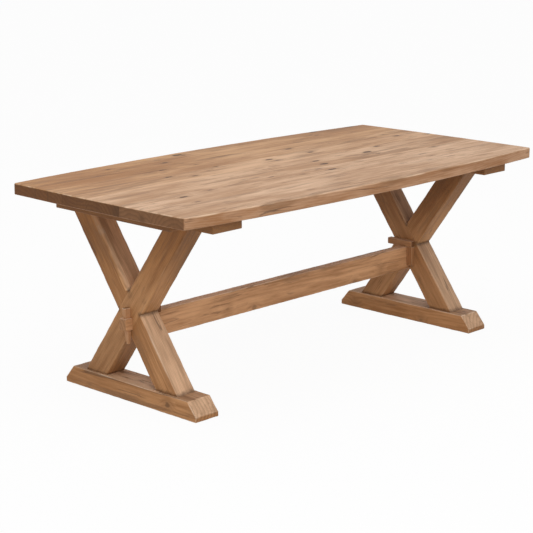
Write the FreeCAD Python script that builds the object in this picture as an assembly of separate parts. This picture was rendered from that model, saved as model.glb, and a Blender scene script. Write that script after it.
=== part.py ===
import FreeCAD, Part
import math
import os

# A sawbuck table: a plank top with bowed long edges on two crossed trestles that stand on sled feet.
# One plank on edge ties the trestles together. Its tenons pass through the two crossings, and a
# tapered wedge outside each crossing draws the shoulders tight, so the frame can be knocked apart.
# Millimetres. X runs along the table, Y across it with the front at minus Y, and Z is up.
# The origin is on the floor under the middle of the top.

# Table
table_height = 760.0

# Plank top: overall length and width, the swell of its edges, and the boards from back to front
top_length = 1960.0
top_width = 996.0
top_side_bow = 48.0
top_end_bow = 8.0
top_thick = 42.0
top_corner_round = 7.0
top_edge_ease = 3.0
board_joint_ease = 1.0
board_width_shares = (0.145, 0.080, 0.090, 0.145, 0.190, 0.170, 0.180)

# Loose tongues in stopped grooves between the boards
tongue_thick = 9.0
tongue_width = 22.0
tongue_stop = 60.0
tongue_clearance = 0.2

# Trestles, set in from the ends of the top by the overhang
end_overhang = 200.0
foot_length = 700.0
foot_width = 110.0
foot_height = 69.0
foot_bevel_length = 43.0
foot_lip_height = 18.0
foot_ease = 2.5
heel_setback = 104.0
leg_width = 93.0
leg_thick = 88.0
leg_ease = 3.0
crossing_height = 331.0
lap_clearance = 0.15

# Stub tenons at both ends of each leg
stub_length = 64.0
stub_thick = 30.0
stub_foot_depth = 38.0
stub_batten_depth = 22.0
stub_clearance = 0.2

# Battens under the top, set in from the corners of the top and a little inwards from the legs.
# The middle of each batten is wider and stands out past the legs towards the end of the top
batten_end_inset = 18.0
batten_set_in = 24.0
batten_width = 140.0
batten_thick = 38.0
batten_wing_reach = 74.0
batten_wing_length = 600.0
batten_ease = 2.5

# Screws from the battens into the middles of some boards, in slots that let the top swell and shrink
screwed_boards = ("top_board_1", "top_board_4", "top_board_5", "top_board_7")
screw_rows_shares = (-0.30, 0.30)
screw_shank_dia = 6.0
screw_head_dia = 12.0
screw_head_height = 4.0
screw_bite = 26.0
screw_point = 6.0
screw_clearance = 0.15
screw_slot_travel = 6.0
screw_slot_clearance = 0.5
counterbore_depth = 12.0

# Stretcher and its through tenons
stretcher_height = 98.0
stretcher_thick = 40.0
stretcher_drop = 12.0
stretcher_ease = 3.0
tenon_height = 42.0
tenon_thick = 34.0
tenon_top_shoulder = 7.0
tenon_reach = 33.0
tenon_end_ease = 4.0
tenon_clearance = 0.25

# Wedges, with the flat side towards the trestle and the sloping side outwards
wedge_length = 135.0
wedge_thick = 18.0
wedge_head_width = 27.0
wedge_tip_width = 11.0
wedge_tip_below = 55.0
wedge_point_length = 34.0
wedge_point_thick = 10.0
wedge_ease = 1.5
wedge_clearance = 0.3
wedge_slot_relief = 4.0

# Housing on the inner face of each crossing: a cap over the stretcher, longer at the back than at the
# front, and a cheek on each side of the stretcher
cap_front_reach = 48.0
cap_back_reach = 80.0
cap_depth = 24.0
cap_thick = 26.0
cheek_height = 80.0
cheek_thick = 28.0
cheek_set_in = 4.0
housing_ease = 2.0

# Every cut runs past the face that it leaves by this much
overrun = 1.0

# Heights and places that follow from the sizes above
top_underside = table_height - top_thick
batten_underside = top_underside - batten_thick
top_end_width = top_width - 2 * top_side_bow
batten_length = top_end_width - 2 * batten_end_inset
trestle_x = top_length / 2 - end_overhang
batten_x = trestle_x - batten_set_in
leg_inner_x = trestle_x - leg_thick / 2
leg_outer_x = trestle_x + leg_thick / 2
stretcher_top = crossing_height - stretcher_drop
stretcher_bottom = stretcher_top - stretcher_height
tenon_top = stretcher_top - tenon_top_shoulder
tenon_bottom = tenon_top - tenon_height
wedge_tip_z = tenon_bottom - wedge_tip_below
wedge_head_z = wedge_tip_z + wedge_length

# The lean of a leg puts its heel at the setback from the end of the foot and its middle on the crossing
heel_y = foot_length / 2 - heel_setback
leg_rise = crossing_height - foot_height
heel_reach = math.hypot(heel_y, leg_rise)
leg_lean = math.acos(leg_width / 2 / heel_reach) - math.atan2(leg_rise, heel_y)

across = FreeCAD.Vector(1, 0, 0)
origin = FreeCAD.Vector(0, 0, 0)


def block(x_span, y_span, z_span):
    """A box between two ends on each axis."""
    corner = FreeCAD.Vector(x_span[0], y_span[0], z_span[0])
    return Part.makeBox(x_span[1] - x_span[0], y_span[1] - y_span[0], z_span[1] - z_span[0], corner)


def middle(centre, size):
    """The two ends of a span of a size about a centre."""
    return centre - size / 2, centre + size / 2


def prism(points, run):
    """A solid from a closed outline of points, pulled along one vector."""
    return Part.Face(Part.makePolygon(points + points[:1])).extrude(run)


def edges_between(shape, axis, low, high):
    """The edges of a shape that lie whole between two places on one axis."""
    found = []
    for edge in shape.Edges:
        box = edge.BoundBox
        ends = ((box.XMin, box.XMax), (box.YMin, box.YMax), (box.ZMin, box.ZMax))[axis]
        if ends[0] > low and ends[1] < high:
            found.append(edge)
    return found


def top_slab():
    """The whole top before it is divided: four shallow arcs, round corners and eased edges."""
    corner_x = top_length / 2 - top_end_bow
    corners = [
        FreeCAD.Vector(corner_x * sx, top_end_width / 2 * sy, top_underside)
        for sx, sy in ((-1, -1), (1, -1), (1, 1), (-1, 1))
    ]
    swells = [
        FreeCAD.Vector(0, -top_width / 2, top_underside),
        FreeCAD.Vector(top_length / 2, 0, top_underside),
        FreeCAD.Vector(0, top_width / 2, top_underside),
        FreeCAD.Vector(-top_length / 2, 0, top_underside),
    ]
    sides = []
    for number, swell in enumerate(swells):
        following = corners[(number + 1) % len(corners)]
        sides.append(Part.Arc(corners[number], swell, following).toShape())
    slab = Part.Face(Part.Wire(sides)).extrude(FreeCAD.Vector(0, 0, top_thick))
    slab = slab.makeFillet(top_corner_round, [e for e in slab.Edges if e.BoundBox.ZLength > top_thick / 2])
    rims = edges_between(slab, 2, table_height - overrun, table_height + overrun)
    rims += edges_between(slab, 2, top_underside - overrun, top_underside + overrun)
    return slab.makeFillet(top_edge_ease, rims)


def board_name(number):
    """The name of a board, counted from zero at the back."""
    return f"top_board_{number + 1}"


def board_joints():
    """The places of the board edges across the end of the table, from the back to the front."""
    places = [top_end_width / 2]
    for share in board_width_shares:
        places.append(places[-1] - share * top_end_width)
    return places


def screw_places():
    """The middles of the screws in the batten of the right trestle."""
    joints = board_joints()
    places = []
    for number in range(len(board_width_shares)):
        if board_name(number) in screwed_boards:
            board_middle = (joints[number] + joints[number + 1]) / 2
            places += [(batten_x + row * batten_width, board_middle) for row in screw_rows_shares]
    return places


def tongue(joint_y, growth):
    """A loose tongue about one board joint, grown all round by a clearance."""
    half_length = top_length / 2 - tongue_stop + growth
    level = middle(table_height - top_thick / 2, tongue_thick + 2 * growth)
    return block((-half_length, half_length), middle(joint_y, tongue_width + 2 * growth), level)


def make_top():
    """The boards, cut from one slab and grooved for the tongues, and the tongues between them."""
    slab = top_slab()
    joints = board_joints()
    grooves = [tongue(joint_y, tongue_clearance) for joint_y in joints[1:-1]]
    pilot_radius = screw_shank_dia / 2 + screw_clearance
    pilots = []
    for x, y in screw_places():
        for side in (-1, 1):
            mouth = FreeCAD.Vector(side * x, y, top_underside - overrun)
            pilots.append(Part.makeCylinder(pilot_radius, screw_bite + 2 * overrun, mouth))
    pieces = {}
    edges = [top_width] + joints[1:-1] + [-top_width]
    for number in range(len(board_width_shares)):
        board_y = (edges[number + 1], edges[number])
        strip = block(middle(0, top_length + overrun), board_y, (0, table_height))
        long_edges = edges_between(strip, 2, table_height - overrun, table_height + overrun)
        strip = strip.makeChamfer(board_joint_ease, [e for e in long_edges if e.Length > top_length])
        pieces[board_name(number)] = slab.common(strip).cut(grooves + pilots)
    for number, joint_y in enumerate(joints[1:-1]):
        pieces[f"top_tongue_{number + 1}"] = tongue(joint_y, 0)
    return pieces


def leg_bar(toe, growth, eased):
    """A straight bar on the lean of one leg, longer than it. The toe is -1 at the front, 1 at the back."""
    length = 2 * table_height
    bar = block(middle(0, leg_thick), middle(0, leg_width + 2 * growth), middle(0, length))
    if eased:
        bar = bar.makeFillet(leg_ease, [e for e in bar.Edges if e.Length > table_height])
    bar.rotate(origin, across, math.degrees(toe * leg_lean))
    bar.translate(FreeCAD.Vector(trestle_x, 0, crossing_height))
    return bar


def leg_middle(toe, height):
    """Where the middle line of a leg is, across the table, at a height."""
    return toe * (crossing_height - height) * math.tan(leg_lean)


def stub(toe, seat, depth, growth):
    """The stub tenon of one leg at its seat height, grown by a clearance. A positive depth goes up."""
    x_span = middle(trestle_x, stub_thick + 2 * growth)
    y_span = middle(leg_middle(toe, seat), stub_length + 2 * growth)
    far = seat + depth + math.copysign(growth, depth)
    root = seat - math.copysign(overrun, depth)
    return block(x_span, y_span, (min(far, root), max(far, root)))


def leg(toe):
    """One leg: trimmed to the foot and the batten, halved at the crossing and mortised for the stretcher."""
    body = leg_bar(toe, 0, True)
    room = block(middle(trestle_x, foot_width), middle(0, top_width), (foot_height, batten_underside))
    body = body.common(room)
    body = body.fuse([
        stub(toe, foot_height, -stub_foot_depth, 0),
        stub(toe, batten_underside, stub_batten_depth, 0),
    ])
    lap_x = (leg_inner_x - overrun, trestle_x) if toe > 0 else (trestle_x, leg_outer_x + overrun)
    half = block(lap_x, middle(0, top_width), (0, table_height))
    lap = leg_bar(-toe, lap_clearance, False).common(half)
    mortise = block(
        (leg_inner_x - overrun, leg_outer_x + overrun),
        middle(0, tenon_thick + 2 * tenon_clearance),
        (tenon_bottom - tenon_clearance, tenon_top + tenon_clearance),
    )
    return body.removeSplitter().cut([lap, mortise])


def foot():
    """A sled foot: bevelled above a low lip at both ends, with two mortises for the legs."""
    end = foot_length / 2
    profile = [
        (-end, 0),
        (end, 0),
        (end, foot_lip_height),
        (end - foot_bevel_length, foot_height),
        (foot_bevel_length - end, foot_height),
        (-end, foot_lip_height),
    ]
    side_x = trestle_x - foot_width / 2
    outline = [FreeCAD.Vector(side_x, y, z) for y, z in profile]
    body = prism(outline, FreeCAD.Vector(foot_width, 0, 0))
    body = body.makeFillet(foot_ease, body.Edges)
    return body.cut([stub(toe, foot_height, -stub_foot_depth, stub_clearance) for toe in (-1, 1)])


def slot(x, y, dia, z_span):
    """A round ended slot across the table, as long as its diameter and the screw's travel."""
    height = z_span[1] - z_span[0]
    ends = [y - screw_slot_travel / 2, y + screw_slot_travel / 2]
    rounds = [Part.makeCylinder(dia / 2, height, FreeCAD.Vector(x, end, z_span[0])) for end in ends]
    return rounds[0].fuse([rounds[1], block(middle(x, dia), ends, z_span)]).removeSplitter()


def batten():
    """A batten under the top, with mortises for the leg heads and counterbored slots for the screws."""
    level = (batten_underside, top_underside)
    body = block(middle(batten_x, batten_width), middle(0, batten_length), level)
    outer_x = batten_x + batten_width / 2
    wing = block((batten_x, outer_x + batten_wing_reach), middle(0, batten_wing_length), level)
    body = body.fuse(wing).removeSplitter()
    body = body.makeFillet(batten_ease, body.Edges)
    cuts = [stub(toe, batten_underside, stub_batten_depth, stub_clearance) for toe in (-1, 1)]
    shank_slot = screw_shank_dia + 2 * screw_slot_clearance
    head_slot = screw_head_dia + 2 * screw_slot_clearance
    for x, y in screw_places():
        cuts.append(slot(x, y, shank_slot, (batten_underside - overrun, top_underside + overrun)))
        cuts.append(slot(x, y, head_slot, (batten_underside - overrun, batten_underside + counterbore_depth)))
    return body.cut(cuts)


def batten_screws():
    """The screws of one batten: low heads in the counterbores, plain shanks and pointed ends."""
    seat = batten_underside + counterbore_depth
    tip = top_underside + screw_bite
    profile = [
        (0, seat - screw_head_height),
        (screw_shank_dia / 2, seat - screw_head_height),
        (screw_head_dia / 2, seat - screw_head_height / 2),
        (screw_head_dia / 2, seat),
        (screw_shank_dia / 2, seat),
        (screw_shank_dia / 2, tip - screw_point),
        (0, tip),
    ]
    points = [FreeCAD.Vector(r, 0, z) for r, z in profile]
    face = Part.Face(Part.makePolygon(points + points[:1]))
    screw = face.revolve(origin, FreeCAD.Vector(0, 0, 1), 360)
    return Part.makeCompound([screw.translated(FreeCAD.Vector(x, y, 0)) for x, y in screw_places()])


def wedge_outline(gap):
    """The outline of the right wedge, seen from the front, with its sloping side moved out by a gap."""
    flat_x = leg_outer_x + wedge_clearance
    return [
        FreeCAD.Vector(flat_x, 0, wedge_tip_z),
        FreeCAD.Vector(flat_x + wedge_tip_width + gap, 0, wedge_tip_z),
        FreeCAD.Vector(flat_x + wedge_head_width + gap, 0, wedge_head_z),
        FreeCAD.Vector(flat_x, 0, wedge_head_z),
    ]


def wedge():
    """A tapered wedge with eased edges, drawn in on both sides to a blunt point."""
    body = prism(wedge_outline(0), FreeCAD.Vector(0, wedge_thick, 0))
    body.translate(FreeCAD.Vector(0, -wedge_thick / 2, 0))
    half = wedge_thick / 2
    point_z = wedge_tip_z + wedge_point_length
    front = [
        (-wedge_point_thick / 2, wedge_tip_z),
        (wedge_point_thick / 2, wedge_tip_z),
        (half, point_z),
        (half, wedge_head_z),
        (-half, wedge_head_z),
        (-half, point_z),
    ]
    outline = [FreeCAD.Vector(leg_outer_x, y, z) for y, z in front]
    body = body.common(prism(outline, FreeCAD.Vector(wedge_clearance + wedge_head_width, 0, 0)))
    return body.makeFillet(wedge_ease, body.Edges)


def wedge_slot():
    """The slot in the right tenon: it follows the wedge and runs in behind the face of the legs."""
    width = wedge_thick + 2 * wedge_clearance
    cut = prism(wedge_outline(wedge_clearance), FreeCAD.Vector(0, width, 0))
    cut.translate(FreeCAD.Vector(0, -width / 2, 0))
    relief_x = (leg_outer_x - wedge_slot_relief, leg_outer_x + wedge_tip_width)
    return cut.fuse(block(relief_x, middle(0, width), (wedge_tip_z, wedge_head_z)))


def stretcher():
    """The plank on edge between the trestles, with a slotted tenon through each crossing."""
    body = block((-leg_inner_x, leg_inner_x), middle(0, stretcher_thick), (stretcher_bottom, stretcher_top))
    body = body.makeFillet(stretcher_ease, [e for e in body.Edges if e.Length > leg_inner_x])
    tenon_end = leg_outer_x + tenon_reach
    tenon = block((-tenon_end, tenon_end), middle(0, tenon_thick), (tenon_bottom, tenon_top))
    end_edges = edges_between(tenon, 0, tenon_end - overrun, tenon_end + overrun)
    end_edges += edges_between(tenon, 0, -tenon_end - overrun, overrun - tenon_end)
    tenon = tenon.makeChamfer(tenon_end_ease, end_edges)
    slot_right = wedge_slot()
    return body.fuse(tenon).removeSplitter().cut([slot_right, slot_right.mirror(origin, across)])


def housing():
    """The cap over the stretcher and the two cheeks beside it, against the legs' inner faces."""
    depth_x = (leg_inner_x - cap_depth, leg_inner_x)
    cap = block(depth_x, (-cap_front_reach, cap_back_reach), (stretcher_top, stretcher_top + cap_thick))
    pieces = {"stretcher_cap": cap.makeFillet(housing_ease, cap.Edges)}
    cheek_x = (leg_inner_x - cap_depth + cheek_set_in, leg_inner_x)
    cheek_y = (stretcher_thick / 2, stretcher_thick / 2 + cheek_thick)
    cheek = block(cheek_x, cheek_y, (stretcher_top - cheek_height, stretcher_top))
    cheek = cheek.makeFillet(housing_ease, cheek.Edges)
    pieces["back_cheek"] = cheek
    pieces["front_cheek"] = cheek.mirror(origin, FreeCAD.Vector(0, 1, 0))
    return pieces


def make_trestle():
    """Every piece of the right trestle."""
    pieces = {
        "foot": foot(),
        "front_leg": leg(-1),
        "back_leg": leg(1),
        "batten": batten(),
        "batten_screws": batten_screws(),
        "wedge": wedge(),
    }
    pieces.update(housing())
    return pieces


def main():
    """Make every piece, mirror the trestle to the left and write one file for each piece."""
    nodes = make_top()
    nodes["stretcher"] = stretcher()
    for name, piece in make_trestle().items():
        nodes[f"right_{name}"] = piece
        nodes[f"left_{name}"] = piece.mirror(origin, across)
    os.makedirs("parts", exist_ok=True)
    for name, piece in nodes.items():
        piece.exportStep(f"parts/{name}.step")
        print(name, len(piece.Solids), piece.isValid(), round(piece.Volume))
    print(len(nodes), "pieces, legs lean", round(math.degrees(leg_lean), 2), "degrees")


main()
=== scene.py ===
# %% [markdown]
# # A sawbuck table in worn oak
# The imported construction comes in first and stays where it is: every board, leg and wedge is already in
# its place, in metres, with the floor at zero. The lesson then models the timber again with soft, rubbed
# edges and gives it the figure of old oak, one kind of piece at a time.

# %% Load the frame and keep its box
import math

import bmesh
import bpy
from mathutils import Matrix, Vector


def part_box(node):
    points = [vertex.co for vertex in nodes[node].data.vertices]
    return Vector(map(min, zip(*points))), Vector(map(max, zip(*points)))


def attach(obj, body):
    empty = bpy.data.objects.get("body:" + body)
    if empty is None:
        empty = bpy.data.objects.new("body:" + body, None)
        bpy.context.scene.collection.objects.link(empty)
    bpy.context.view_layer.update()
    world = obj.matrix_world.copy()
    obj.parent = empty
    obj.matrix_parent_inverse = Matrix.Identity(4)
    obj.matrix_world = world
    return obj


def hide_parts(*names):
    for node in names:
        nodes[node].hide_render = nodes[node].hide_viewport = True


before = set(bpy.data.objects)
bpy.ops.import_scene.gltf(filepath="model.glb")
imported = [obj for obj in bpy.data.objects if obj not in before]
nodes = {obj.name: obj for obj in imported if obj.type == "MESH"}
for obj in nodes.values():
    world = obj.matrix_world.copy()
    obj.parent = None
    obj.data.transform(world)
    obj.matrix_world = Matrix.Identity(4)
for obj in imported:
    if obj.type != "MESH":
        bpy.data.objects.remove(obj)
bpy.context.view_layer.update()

# %% [markdown]
# ## The camera
# The table is seen from its front left corner, a little above the top, with a long lens. The place and
# the two angles were found by fitting the corners of the table to the picture. A camera could also be
# aimed with a Track To constraint, but plain angles are easier to nudge by a fraction of a degree.

# %% Place the camera
scene = bpy.context.scene
picture_px = 533
sensor_mm = 36.0
focal_px = 1634.0
camera_place = (-4.5409, -4.2416, 1.8613)
camera_yaw = math.radians(46.206)
camera_pitch = math.radians(-13.633)

lens = bpy.data.cameras.new("table_camera")
lens.sensor_width = sensor_mm
lens.lens = focal_px / picture_px * sensor_mm
camera = bpy.data.objects.new("table_camera", lens)
camera.location = camera_place
camera.rotation_euler = (math.pi / 2 + camera_pitch, 0, -camera_yaw)
scene.collection.objects.link(camera)
scene.camera = camera
print("lens of", round(lens.lens, 1), "mm")

# %% [markdown]
# ## Small tools for nodes
# Light, floor and wood are all drawn with nodes. Wiring dozens of them one by one, as in the shader editor,
# would hide the idea. These short helpers each add one node or a small chain. Arithmetic comes first, then
# a stretched cloud of noise, a soft threshold and a colour mix.

# %% Wiring and arithmetic


def feed(tree, socket, value):
    """Link a socket to another one, or set its plain value."""
    if isinstance(value, bpy.types.NodeSocket):
        tree.links.new(value, socket)
    else:
        socket.default_value = value


def add(tree, kind, values=()):
    """A new shader node, with some of its inputs linked or set."""
    node = tree.nodes.new("ShaderNode" + kind)
    for name, value in dict(values).items():
        feed(tree, node.inputs[name], value)
    return node


def fresh(owner):
    """Give a world or a material an empty node tree."""
    owner.use_nodes = True
    owner.node_tree.nodes.clear()
    return owner.node_tree


def sums(tree, operation, *values):
    """One step of arithmetic on numbers."""
    step = add(tree, "Math")
    step.operation = operation
    for socket, value in zip(step.inputs, values):
        feed(tree, socket, value)
    return step.outputs[0]


def times(tree, first, *others):
    """Numbers multiplied together."""
    for other in others:
        first = sums(tree, "MULTIPLY", first, other)
    return first


def weigh(tree, values, shares):
    """Numbers added up, each by its share."""
    total = 0.0
    for value, share in zip(values, shares):
        total = sums(tree, "MULTIPLY_ADD", value, share, total)
    return total


def vectors(tree, operation, *values):
    """One step of arithmetic on vectors."""
    step = add(tree, "VectorMath")
    step.operation = operation
    for socket, value in zip(step.inputs, values):
        feed(tree, socket, value)
    return step.outputs["Value" if operation in ("LENGTH", "DOT_PRODUCT") else "Vector"]


def split(tree, vector):
    """The three parts of a vector."""
    return add(tree, "SeparateXYZ", {"Vector": vector}).outputs


print("arithmetic ready")

# %% Noise, thresholds and mixes
# A Mix node keeps its colour sockets at these places.
mix_under, mix_over, mix_result = 6, 7, 2
plain_crispness = 0.5


def cloud(tree, place, stretch, detail, crisp=plain_crispness, output="Fac"):
    """Noise with its own fineness along, across and through the timber, in marks per metre."""
    stretched = vectors(tree, "MULTIPLY", place, stretch)
    values = {"Vector": stretched, "Scale": 1.0, "Detail": detail, "Roughness": crisp}
    return add(tree, "TexNoise", values).outputs[output]


def between(tree, value, low, high):
    """A soft step from zero at low to one at high. The two may be swapped."""
    flipped = low > high
    step = add(tree, "MapRange", {
        "Value": value, "From Min": min(low, high), "From Max": max(low, high),
        "To Min": float(flipped), "To Max": float(not flipped),
    })
    step.interpolation_type = "SMOOTHSTEP"
    return step.outputs["Result"]


def stain(tree, share, under, over, how="MIX"):
    """Lay one colour over another by a share."""
    mix = add(tree, "Mix")
    mix.data_type = "RGBA"
    mix.blend_type = how
    feed(tree, mix.inputs["Factor"], share)
    feed(tree, mix.inputs[mix_under], under)
    feed(tree, mix.inputs[mix_over], over)
    return mix.outputs[mix_result]


print("noise and mixes ready")

# %% [markdown]
# ## The light
# The table stands in a white studio. A wide soft lamp hangs over it and a second one stands high in front
# and a little to the left, so the top is the brightest face and the front comes next. The world fills
# in the rest. What the lens and the reflections see of the world is plain white, while the light that it
# gives is weaker, which a Light Path node keeps apart.

# %% Keep what is seen apart from what gives light
white = (1.0, 1.0, 1.0, 1.0)


def seen_rays(tree):
    """One where the lens, a reflection or a clear body looks, and zero where light is gathered."""
    path = add(tree, "LightPath").outputs
    either = sums(tree, "MAXIMUM", path["Is Camera Ray"], path["Is Glossy Ray"])
    return sums(tree, "MAXIMUM", either, path["Is Transmission Ray"])


def shine(tree, kind, strength):
    """White light from the world or from a face."""
    return add(tree, kind, {"Color": white, "Strength": strength}).outputs[0]


def put_out(tree, kind, share, under, over):
    """Mix two shaders by a share and hand them to the output."""
    mix = add(tree, "MixShader", enumerate((share, under, over)))
    add(tree, kind, {"Surface": mix.outputs[0]})


print("light helpers ready")

# %% Hang the lamps and set the world
scene.view_settings.view_transform = "Standard"
fill_strength = 0.60
seen_strength = 1.0
lamp_target = Vector((0.0, 0.0, 0.45))
# For each lamp: its place, its width and depth in metres, and its watts.
lamp_specs = {
    "overhead_lamp": ((-0.9, -0.7, 4.2), 5.0, 3.5, 51.0),
    "front_lamp": ((-2.4, -4.6, 3.6), 3.5, 2.5, 78.0),
}


def soft_lamp(name, place, width, depth, watts):
    """A rectangular lamp that looks at the table."""
    lamp = bpy.data.lights.new(name, "AREA")
    lamp.shape = "RECTANGLE"
    lamp.size = width
    lamp.size_y = depth
    lamp.energy = watts
    hung = bpy.data.objects.new(name, lamp)
    hung.location = place
    hung.rotation_euler = (lamp_target - Vector(place)).to_track_quat("-Z", "Y").to_euler()
    scene.collection.objects.link(hung)
    return hung


lamps = [soft_lamp(name, *spec) for name, spec in lamp_specs.items()]
world = bpy.data.worlds.new("white_studio")
scene.world = world
sky = fresh(world)
filling = shine(sky, "Background", fill_strength)
seen = shine(sky, "Background", seen_strength)
put_out(sky, "OutputWorld", seen_rays(sky), filling, seen)
print("lamps", [lamp.name for lamp in lamps])

# %% [markdown]
# ## The floor
# A large white disc carries the table. Most of what the lens sees of it glows at plain white and the rest
# is a matt white that still takes the table's shadow, so the ground stays pale with a faint shade under
# the feet. Light that bounces meets only the matt white.

# %% Lay the floor
floor_radius = 45.0
floor_drop = 0.0006
floor_points = 96
floor_white = (0.86, 0.86, 0.86, 1.0)
glow_share = 0.95

bpy.ops.object.select_all(action="DESELECT")
bpy.ops.mesh.primitive_circle_add(
    vertices=floor_points, radius=floor_radius, fill_type="NGON", location=(0, 0, -floor_drop)
)
floor = bpy.context.object
floor.name = "studio_floor"
bpy.ops.object.transform_apply(location=True, rotation=True, scale=True)

floor_finish = bpy.data.materials.new("matt_white_floor")
ground = fresh(floor_finish)
matt = add(ground, "BsdfDiffuse", {"Color": floor_white}).outputs[0]
glow = shine(ground, "Emission", seen_strength)
put_out(ground, "OutputMaterial", times(ground, seen_rays(ground), glow_share), matt, glow)
floor.data.materials.append(floor_finish)
print("floor of", 2 * floor_radius, "m")

# %% [markdown]
# ## The figure of oak
# A tree grows in cones, one ring a year, and a board is a cut through them. So the pattern is solid: each
# point of a timber has a place along, across and through it, and its distance from the heart of the tree
# gives the ring. The same pattern then draws long flames on a wide face, straight lines on a narrow one
# and arcs on a sawn end, with no picture wrapped round anything. Slow noise bends the rings, knots push
# them aside, and finer noise adds streaks, fibres and drying cracks.

# %% Open a group for the oak figure
oak_inputs = {
    "Vector": ("Place", "Heart", "Grain"),
    "Color": ("Pale", "Deep"),
    "Float": ("Streaks", "Knots", "Warmth and shade", "Ends", "Fade", "Grime and shade"),
}
oak_outputs = {"Color": ("Colour",), "Float": ("Roughness", "Height")}

oak = bpy.data.node_groups.new("worn_oak", "ShaderNodeTree")
for way, kinds in (("INPUT", oak_inputs), ("OUTPUT", oak_outputs)):
    for kind, names in kinds.items():
        for name in names:
            oak.interface.new_socket(name=name, in_out=way, socket_type="NodeSocket" + kind)
given = oak.nodes.new("NodeGroupInput").outputs
print("oak figure takes", [socket.name for socket in given][:-1])

# %% Rings, bent by slow noise and by knots
# Noise is given by its marks per metre along, across and through the timber, its detail and its crispness.
middle_grey = 0.5
grain_bend = 0.024
drift_noise = ((1.1, 5.0, 5.0), 2.0)
knot_spacing = (6.5, 15.0, 9.0)
knot_odds = (0.28, 0.30)
ragged_noise = ((60.0, 160.0, 160.0), 2.0)
knot_edge_shares = (1.0, 0.09, 0.12)
knot_rim = (0.250, 0.195)
halo_rim = (0.34, 0.05)
off_heart = (0.0, 1.0, 1.0)
rings_per_metre = 165.0
ring_taper = 1.3
knot_push = 2.2
late_range = (0.25, 0.98)

drift = cloud(oak, given["Place"], *drift_noise, output="Color")
drift = vectors(oak, "SUBTRACT", drift, (middle_grey, middle_grey, middle_grey))
drift = vectors(oak, "MULTIPLY", drift, (0.0, grain_bend, grain_bend))
bent = vectors(oak, "ADD", given["Place"], drift)

spaced = vectors(oak, "MULTIPLY", bent, knot_spacing)
knot_cells = add(oak, "TexVoronoi", {"Scale": 1.0, "Vector": spaced}).outputs
knot_draw = add(oak, "SeparateColor", {"Color": knot_cells["Color"]}).outputs
knot_here = times(oak, between(oak, knot_draw[0], *knot_odds), given["Knots"])
ragged = cloud(oak, given["Place"], *ragged_noise)
knot_edge = weigh(oak, (knot_cells["Distance"], ragged, knot_draw[1]), knot_edge_shares)
knot = times(oak, between(oak, knot_edge, *knot_rim), knot_here)
knot_halo = times(oak, between(oak, knot_cells["Distance"], *halo_rim), knot_here)

from_heart = vectors(oak, "SUBTRACT", bent, given["Heart"])
radius = vectors(oak, "LENGTH", vectors(oak, "MULTIPLY", from_heart, off_heart))
along = split(oak, from_heart)[0]
ring = weigh(oak, (radius, along, knot_halo), (rings_per_metre, ring_taper, knot_push))
late_wood = between(oak, sums(oak, "FRACT", ring), *late_range)
print("rings and knots drawn")

# %% Streaks, fibres and cracks along the grain
broad_noise = ((1.2, 5.0, 5.0), 3.0)
streak_noise = ((3.6, 24.0, 24.0), 8.0, 0.62)
line_noise = ((7.0, 80.0, 80.0), 6.0, 0.60)
fibre_noise = ((14.0, 420.0, 420.0), 3.0)
tone_shares = (0.40, 0.32, 0.20, 0.08, -0.035)
tone_range = (0.385, 0.59)
smoke_shift = (7.3, 0.0, 0.0)
smoke_noise = ((2.4, 21.0, 21.0), 6.0, 0.60)
smoke_range = (0.54, 0.64)
crack_shift = (17.9, 0.0, 0.0)
vein_noise = ((1.8, 36.0, 36.0), 1.5)
vein_range = (0.018, 0.004)
crack_zone_noise = ((3.4, 14.0, 14.0), 1.0)
crack_zone_range = (0.56, 0.62)
fleck_noise = ((9.0, 62.0, 62.0), 3.0)
fleck_range = (0.60, 0.66)
fleck_zone_noise = ((2.4, 10.0, 10.0), 2.0)
fleck_zone_range = (0.52, 0.62)

broad = cloud(oak, bent, *broad_noise)
streak = cloud(oak, bent, *streak_noise)
line = cloud(oak, bent, *line_noise)
fibre = cloud(oak, bent, *fibre_noise)
tone = between(oak, weigh(oak, (broad, streak, line, fibre, late_wood), tone_shares), *tone_range)

elsewhere = vectors(oak, "ADD", bent, smoke_shift)
smoke = times(oak, between(oak, cloud(oak, elsewhere, *smoke_noise), *smoke_range), given["Streaks"])
further = vectors(oak, "ADD", bent, crack_shift)
vein = sums(oak, "ABSOLUTE", sums(oak, "SUBTRACT", cloud(oak, further, *vein_noise), middle_grey))
crack_zone = between(oak, cloud(oak, further, *crack_zone_noise), *crack_zone_range)
crack = times(oak, between(oak, vein, *vein_range), crack_zone)
fleck_zone = between(oak, cloud(oak, further, *fleck_zone_noise), *fleck_zone_range)
fleck = between(oak, cloud(oak, further, *fleck_noise), *fleck_range)
fleck = times(oak, fleck, fleck_zone, given["Streaks"])
print("streaks and cracks drawn")

# %% [markdown]
# The colour goes on in layers. First come the two tones of the wood and a warm, darker tint, which at the
# heads of the legs is painted shade. Rubbed edges show lighter wood, and the pieces carry an attribute that
# says where their edges were rounded. Faces that look up are paler and greyer, partly bleached and scrubbed
# and partly painted light from above. Smoky streaks, flecks and knots keep their colour and lie over that.
# Cut ends show bands of growth, drink more oil and turn dark. Dirt, darker flats on the feet, painted shade
# and drying cracks come last.

# %% Two tones, rubbed edges, and faces paler from bleaching and painted light
sawn_range = (0.84, 0.97)
cross_range = (0.50, 0.90)
cross_loss = -0.65
warm_shade = (0.83, 0.62, 0.30, 1.0)
patchy_noise = ((6.0, 22.0, 22.0), 3.0)
patchy_range = (0.44, 0.64)
polish_share = 0.60
arris_tan = (0.64, 0.45, 0.30, 1.0)
broad_tan = (0.68, 0.355, 0.155, 1.0)
broad_range = (0.9, 1.3)
# Faces that look up are drawn paler and greyer: partly bleaching, partly painted light from above.
bleach_and_light_hue = 0.506
bleach_and_light_value = 1.30
bleach_and_light_range = (0.05, 0.70)

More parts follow.
